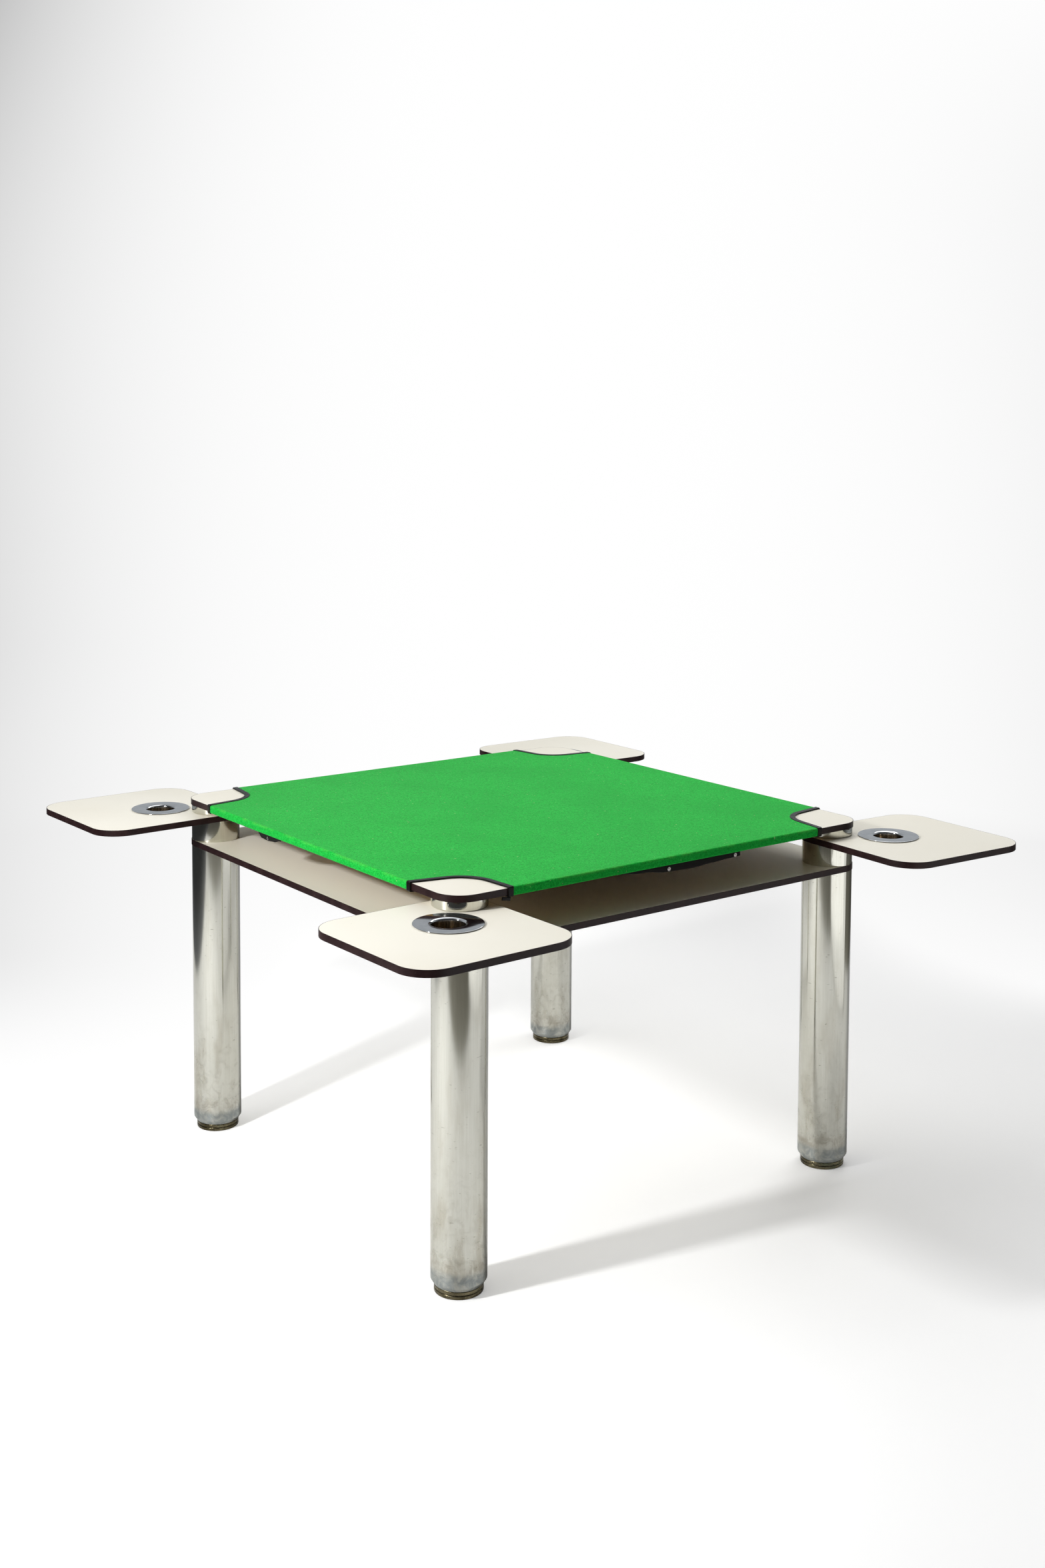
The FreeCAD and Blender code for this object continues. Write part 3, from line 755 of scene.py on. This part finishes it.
def corner_hull(corner, spread):
    """The upright block over a corner; its inner edge lies spread past the cut."""
    radius, turn = notches[corner]
    radius += spread
    end = radius * cos(FLARE) + (REACH + radius * sin(FLARE)) * tan(FLARE)
    arc = [(radius * cos(a), radius * sin(a)) for a in (radians(k * 1.5) for k in range(61))]
    bm = bmesh.new()
    for x, y in arc + [(end, -REACH), (-REACH, end), (-REACH, -REACH)]:
        for z in (HULL_LOW, HULL_HIGH):
            bm.verts.new((x, y, z))
    bmesh.ops.convex_hull(bm, input=bm.verts)
    bmesh.ops.delete(bm, geom=[v for v in bm.verts if not v.link_faces], context="VERTS")
    bmesh.ops.recalc_face_normals(bm, faces=bm.faces)
    sx, sy, _ = corners[corner]
    square_on = atan2(-sy, -sx) - pi / 4 + radians(turn)
    return solid("hull", bm, laminate, leg_place(corner) @ Matrix.Rotation(square_on, 4, "Z"))


print("cut radii", [radius for radius, _ in notches.values()])

# %% [markdown]
# Cloth and tape both wrap the board's edges and turn in underneath. Each starts as a block a little larger
# than the board with well-rounded rims; the board itself is taken out of it, and a narrower block opens it
# below.

# %% Wrap the board
def grown(name, by, bottom, rim, finish):
    """A solid block that stands by outside the top board all round and above it."""
    bm = block(-TOP_HALF - by, TOP_HALF + by, CORNER + by, bottom, TOP_HIGH + by, rim, rim_steps=5)
    return solid(name, bm, finish)


def board_only():
    return solid("board", block(-TOP_HALF, TOP_HALF, CORNER, TOP_LOW, TOP_HIGH), laminate)


def below(turned_under):
    """What to take away under the board, so that only a turn of that width is left there."""
    half = TOP_HALF - turned_under
    return solid("below", block(-half, half, CORNER - turned_under, 0.65, 0.685), laminate)


print("board to wrap", 2 * TOP_HALF, "square")

# %% [markdown]
# The cover is one cloth, wrapped over the top and pulled under its edges, with its four corners cut away.
# Flat faces would read as plastic, so we cut it into small fields and let slow noise ease every line:
# hardly at all on the top, where it is stretched, and more along the hem.

# %% Cloth cover
cloth_thick, cloth_low, cloth_rim, hem_turn = 0.0019, 0.6760, 0.0034, 0.014
field, fields = 0.042, 11
hem_ease, top_ease = 0.0005, 0.00012
cover = grown("baize_cloth", cloth_thick, cloth_low, cloth_rim, baize)
carve(cover, board_only(), below(hem_turn), *[corner_hull(corner, 0.0002) for corner in corners])
bm = bmesh.new()
bm.from_mesh(cover.data)
for k in range(-fields, fields + 1):
    for normal in ((1, 0, 0), (0, 1, 0)):
        everything = bm.verts[:] + bm.edges[:] + bm.faces[:]
        bmesh.ops.bisect_plane(bm, geom=everything, plane_co=Vector(normal) * k * field, plane_no=normal)
for vert in bm.verts:
    ease = noise.noise_vector(vert.co * 7.0)
    side = max(abs(vert.co.x), abs(vert.co.y)) > 0.488
    vert.co.z += ease.z * (hem_ease if side and vert.co.z < 0.689 else top_ease)
finish_mesh(bm, cover.data)
settle(even(cover), "table", "baize", "baize_cover")
print("cloth made", len(cover.data.polygons))

# %% [markdown]
# The cut edge of the cloth is bound with black leathercloth tape, folded over it and hooked under the
# board. It has a fine pebble grain and a soft sheen, and it is thick enough to stand proud of the cloth.

# %% Black leathercloth
tape = Finish("black_leathercloth", Specular_IOR_Level=0.14)
grain = {"Vector": tape.place(), "Scale": 900.0, "Smoothness": 0.6}
pebbles = tape.add("ShaderNodeTexVoronoi", {"feature": "SMOOTH_F1"}, grain)
dust = tape.noise(80.0, 4.0, 0.7).ramp(0.5, 0.8)
tape.feed("Base Color", tape.colour(dust * 0.4, (0.005, 0.0045, 0.004), (0.024, 0.021, 0.018)))
tape.feed("Roughness", 0.30 + dust * 0.25)
tape.bump(pebbles, 0.35, 0.0006)
tape.count()

# %% [markdown]
# Each strip of tape is the part of a second wrap that lies between two hulls: one spread past the cut, one
# just inside it. A Bevel modifier softens its sharp corners. At the corner nearest the camera the tape's
# end hangs out below the edge, so one short tail is added there.

# %% Tape
tape_thick, tape_low, tape_rim, tape_turn = 0.0031, 0.6749, 0.0026, 0.007
past_cut, inside_cut = 0.0095, -0.0012
for corner in corners:
    strip = grown("corner_tape_" + corner, tape_thick, tape_low, tape_rim, tape)
    carve(strip, corner_hull(corner, past_cut), keep=True)
    carve(strip, corner_hull(corner, inside_cut), board_only(), below(tape_turn))
    soften = strip.modifiers.new("soften", "BEVEL")
    soften.width, soften.segments = 0.0009, 3
    soften.limit_method, soften.angle_limit = "ANGLE", radians(50)
    settle(strip, "table", "binding")
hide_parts("corner_bindings")

bm = bmesh.new()
bmesh.ops.create_cube(bm, size=1)
bmesh.ops.scale(bm, vec=(0.0028, 0.018, 0.0062), verts=bm.verts)
softened(bm, bm.edges[:], 0.0013, 3)
bmesh.ops.rotate(bm, verts=bm.verts, matrix=Matrix.Rotation(radians(-9), 3, "X"))
bmesh.ops.translate(bm, vec=(0.4912, -0.3815, 0.6730), verts=bm.verts)
settle(solid("tape_tail", bm, tape), "table", "binding")
print("last strip has", len(strip.data.polygons), "faces")

# %% [markdown]
# Under the hem run black woven bands, held by small press studs. The weave is a pattern of diagonal waves,
# fine enough to see only from close by; the studs are dull nickel.

# %% Webbing and stud plate
webbing = Finish("black_webbing", Roughness=0.8, Specular_IOR_Level=0.15)
waves = {"Vector": webbing.place(), "Scale": 240.0, "Distortion": 1.0}
weave = webbing.add("ShaderNodeTexWave", {"wave_type": "BANDS", "bands_direction": "DIAGONAL"}, waves)
webbing.feed("Base Color", webbing.colour(weave, (0.005, 0.0045, 0.004), (0.015, 0.014, 0.013)))
webbing.bump(weave, 0.4, 0.0005)
webbing.count()
plated = Finish("plated_stud", Metallic=1.0, Roughness=0.2)
rub = plated.noise(300.0, 3.0)
plated.feed("Base Color", plated.colour(rub, (0.30, 0.29, 0.27), (0.46, 0.44, 0.41)))
plated.feed("Roughness", 0.16 + rub * 0.2)
plated.count()

# %% [markdown]
# A band sags between its studs. We give the sag as shares of the band's length and of its greatest drop,
# and ease from one to the next. The band is then a thin grid whose lower edge follows the sag, given a
# thickness; a stud is a spun dome with a rolled rim.

# %% Shape of a hem band
long_sag = [(0, 0.2), (0.2, 0.5), (0.4, 0.9), (0.6, 1.0), (0.75, 0.84), (0.9, 0.72), (1, 0.66)]
short_sag = [(0, 0.45), (0.14, 0.92), (0.4, 1.0), (0.7, 0.85), (1, 0.4)]
band_face, band_thick, belly_deep = -0.4879, 0.0011, 0.0006
stud_face, stud, dome = -0.4885, 0.0036, 0.0014
stud_profile = rounded(
    (0, 0, 0), (stud, 0, 0.0002), (stud, 0.0009, 0.0003), (0.0026, 0.0009, 0.0003), (0.0023, 0.0006, 0.0002),
    (0.0011, dome, 0.0007), (0, dome, 0))


def sag_at(shares, t):
    """How deep the band hangs at t along it, as a share of its greatest drop, eased between the places."""
    for (a, da), (b, db) in zip(shares, shares[1:]):
        if t <= b:
            s = (t - a) / (b - a)
            return da + (db - da) * s * s * (3 - 2 * s)
    return shares[-1][1]


def hem_band(name, turn, middle, length, drop, shares, studs):
    """A band under one edge of the top, with its studs at the given shares of its length and drop."""
    place = Matrix.Rotation(radians(turn), 4, "Z")
    bm = bmesh.new()
    bmesh.ops.create_grid(bm, x_segments=60, y_segments=6, size=0.5)
    for vert in bm.verts:
        t, down = vert.co.x + 0.5, 0.5 - vert.co.y
        belly = belly_deep * sin(pi * down) * sin(pi * t)
        hang = drop * sag_at(shares, t) * down
        vert.co = Vector((middle + (t - 0.5) * length, band_face - belly, TOP_LOW - hang))
    bmesh.ops.recalc_face_normals(bm, faces=bm.faces)
    bmesh.ops.solidify(bm, geom=bm.faces[:], thickness=band_thick)
    bmesh.ops.recalc_face_normals(bm, faces=bm.faces)
    strap = settle(solid(name, bm, webbing, place), "table", "strap")
    for i, (t, down) in enumerate(studs):
        spot = Matrix.Translation((middle + (t - 0.5) * length, stud_face, TOP_LOW - drop * down))
        facing_out = place @ spot @ Matrix.Rotation(pi / 2, 4, "X")
        dot = solid(name + "_stud_" + str(i), spun(stud_profile, steps=48), plated, facing_out)
        settle(dot, "table", "stud_metal")
    return strap


print("band sag in", len(long_sag), "and", len(short_sag), "places")

# %% [markdown]
# Two edges of the top carry a long band and the other two a short one. Each entry gives the band's middle
# along the edge, its length, its greatest drop, its sag and where its studs sit.

# %% Hem bands and press studs
long_band = 0.0115, 0.293, 0.0162, long_sag, [(0.4, 0.58), (0.955, 0.45)]
short_band = -0.125, 0.084, 0.013, short_sag, [(0.43, 0.63)]
straps = [hem_band("hem_band_right", 90, *long_band), hem_band("hem_band_left", 270, *long_band),
          hem_band("hem_band_front", 0, *short_band), hem_band("hem_band_back", 180, *short_band)]
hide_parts("hem_straps")
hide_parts("press_studs")
print("bands made", len(straps))

# %% [markdown]
# The floor is a sheet of white paper. To the camera it runs on for ever, lifted towards white so that it
# meets the backdrop. To light and to reflections it ends where the real sheet did, and the dark studio
# floor begins: those edges draw the long dark tongues on the polished legs. A white panel stood at the
# right, past the sheet; it is painted onto the floor as a patch that glows for reflections only, with a
# painted dark outline, and the rest of the sheet glows faintly for reflections too. Each edge is a straight
# line on the floor, given by the direction it faces.

# %% Edges of the sheet
sweep = Finish("white_sweep", Roughness=0.9)
camera_ray = sweep.add("ShaderNodeLightPath", output="Is Camera Ray")
glossy_ray = sweep.add("ShaderNodeLightPath", output="Is Glossy Ray")
floor_x, floor_y, _ = sweep.split(sweep.place())


def out_along(x, y):
    """How far a place on the floor lies out along a direction."""
    return floor_x * x + floor_y * y


to_front, to_left, to_right = out_along(0.859, -0.512), out_along(-0.743, -0.669), out_along(0.26, 0.966)
left_edge = to_left.ramp(1.65, 1.71)
past_edge = larger(larger(to_front.ramp(1.69, 1.75), left_edge), to_right.ramp(1.78, 1.84))
inside = smaller(out_along(0.826, 0.564) - 1.58, out_along(0.194, 1))
inside = smaller(inside, out_along(0.835, -0.55) - 0.25)
# Painted reflection: the panel is a patch of floor that glows for reflections, ringed by a painted dark
# outline.
panel, painted_panel_outline = inside.ramp(-0.02, 0.02), (inside + 0.035).distance().ramp(0.035, 0.015)
off_sheet_and_outline = larger(past_edge * (1 - panel), painted_panel_outline)
far_left = sweep.colour(to_left.ramp(1.65, 2.6), (0.14, 0.145, 0.16), (0.02, 0.021, 0.025))
dark_floor = sweep.colour(left_edge, (0.26, 0.25, 0.21), far_left)
sweep.feed("Base Color", sweep.colour(off_sheet_and_outline * (1 - camera_ray), (0.95, 0.95, 0.95), dark_floor))
sweep.count()

# %% [markdown]
# Studio paper is never evenly lit. Seen from the camera the sheet greys off to both sides, more with depth,
# and a painted glow, stronger towards the left, lifts the near floor. All of it is a mix of three shaders:
# lit paper, that glow added to it, and paper that glows by itself far away, where the lamps no longer reach.

# %% Tone of the sheet
VIEW_LEFT, VIEW_DEPTH = (-0.6006, -0.7996), (-0.7996, 0.6006)
CAMERA_BACK, FALL_LEFT, FALL_RIGHT = 3.55, 9.4, 3.3
out = (floor_x * floor_x + floor_y * floor_y) ** 0.5
left, depth = out_along(*VIEW_LEFT), out_along(*VIEW_DEPTH) + CAMERA_BACK
fan = larger(left, 0.0) / larger(depth, 1.0)
greyed = smaller(fan ** 3 * FALL_LEFT, 0.4) * depth.ramp(3.7, 4.9, 0, 0.8) * depth.ramp(6.0, 12.0, 1, 1.25)
fan_right = smaller(left, 0.0) / larger(depth, 1.0) * -1
greyed = greyed + smaller(fan_right ** 3 * FALL_RIGHT, 0.1) * depth.ramp(4.0, 6.0)
# Painted glow: light added for the camera lifts the near floor, more towards the left.
near_glow_strength = camera_ray * (0.18 + left.ramp(-0.8, 0.4) * 0.17)
haze = sweep.add("ShaderNodeEmission", None, {"Strength": near_glow_strength})
near = sweep.add("ShaderNodeAddShader", None, {0: Part(sweep, sweep.shader.outputs[0]), 1: haze})
far = sweep.add("ShaderNodeEmission", None, {"Strength": 1 - camera_ray * greyed})
farness = camera_ray * larger(out.ramp(1.4, 3.6), greyed.ramp(0.0, 0.02) * 0.9)
# Painted reflection: reflections see the sheet glow faintly and the panel patch glow brightly.
glow_in_reflections = glossy_ray * (0.06 + panel * 0.84) * (1 - off_sheet_and_outline)
lifted = sweep.add("ShaderNodeMixShader", None, {0: farness + glow_in_reflections, 1: near, 2: far})
sweep.tree.links.new(lifted.socket, sweep.tree.nodes["Material Output"].inputs["Surface"])
bm = bmesh.new()
bmesh.ops.create_circle(bm, cap_ends=True, segments=96, radius=14.0)
floor = solid("floor", bm, sweep)
floor.location.z = -0.0002
sweep.count()

# %% [markdown]
# The backdrop behind the table is white and falls off to grey at the upper left. Polished faces see it a
# little darker and cooler, as they did in the studio. To plain surfaces it gives a soft fill from behind
# the table and a stronger one from low at the front left, and the rest is nearly dark. The world can do all
# of this by the direction and the kind of each ray.

# %% Backdrop
studio = Finish("studio", bpy.data.worlds.new("studio"), "Background")
bpy.context.scene.world = studio.owner
direction = studio.add("ShaderNodeTexCoord", output="Generated")
camera_ray = studio.add("ShaderNodeLightPath", output="Is Camera Ray")
glossy_ray = studio.add("ShaderNodeLightPath", output="Is Glossy Ray")


def towards(x, y, z):
    """How far a ray looks along an axis, from -1 to 1."""
    vectors = {0: direction, 1: (x, y, z)}
    return studio.add("ShaderNodeVectorMath", {"operation": "DOT_PRODUCT"}, vectors, output="Value")


ahead = larger(towards(-sin(heading), cos(heading), 0), 0.02)
fan = larger(towards(-cos(heading), -sin(heading), 0), 0.0) / ahead
fan_right = larger(towards(cos(heading), sin(heading), 0), 0.0) / ahead
rise = larger(towards(0, 0, 1), 0.0) / ahead
in_view = ahead.ramp(0.3, 0.6)
greyed = smaller(fan ** 3 * FALL_LEFT * (rise * rise * 18.0 + 1), 0.5) * in_view
greyed = greyed + smaller(fan_right ** 3 * FALL_RIGHT, 0.1) * rise.ramp(0.30, 0.10) * in_view
behind_table = towards(-sin(heading), cos(heading), 0.2).ramp(-0.3, 0.5)
front_left = towards(-0.3, -0.95, 0.08).ramp(0.5, 0.95)
soft_fill = 0.035 + behind_table * 0.26 + front_left * 1.1
cool_grey = 0.06 + behind_table * 0.44
unseen = glossy_ray * cool_grey + (1 - glossy_ray) * soft_fill
studio.feed("Strength", camera_ray * (1 - greyed) + (1 - camera_ray) * unseen)
studio.feed("Color", studio.colour(glossy_ray * (1 - camera_ray), (1, 1, 1), (0.92, 0.975, 1.03)))
studio.count()

# %% [markdown]
# The key is one small lamp low at the front left, which throws the legs' long shadows back over the sheet
# with nearly sharp edges. A wide overhead lamp evens out the top and the trays, a back lamp lifts their far
# sides, and the white panel is a faint lamp that shows mostly as a reflection.

# %% Lamps
def lamp(name, place, target, width, height, power, diffuse=1.0):
    """A flat lamp that faces its target; diffuse is its share of light on surfaces that don't mirror it."""
    light = bpy.data.lights.new(name, "AREA")
    light.shape, light.size, light.size_y = "RECTANGLE", width, height
    light.energy, light.diffuse_factor = power, diffuse
    holder = bpy.data.objects.new(name, light)
    bpy.context.collection.objects.link(holder)
    aim = Vector(target) - Vector(place)
    holder.matrix_world = Matrix.Translation(place) @ aim.to_track_quat("-Z", "Y").to_matrix().to_4x4()
    holder.visible_camera = False
    print(name, "lamp of", power, "W")


lamp("key", (0.17, -2.15, 1.6), (0, 0, 0.6), 0.15, 0.15, 40)
lamp("overhead", (-0.1, 0.4, 2.6), (-0.1, 0.4, 0), 1.8, 2.2, 20)
lamp("back", (-0.3, 1.7, 2.1), (-0.1, 0.1, 0.66), 1.0, 1.0, 13)
lamp("panel", (1.7, 0.45, 0.35), (0, 0, 0.35), 1.7, 0.5, 1.0, diffuse=0.15)

# %% [markdown]
# Colours should render as they were written, so the view transform is Standard.

# %% Finish
bpy.context.scene.view_settings.view_transform = "Standard"
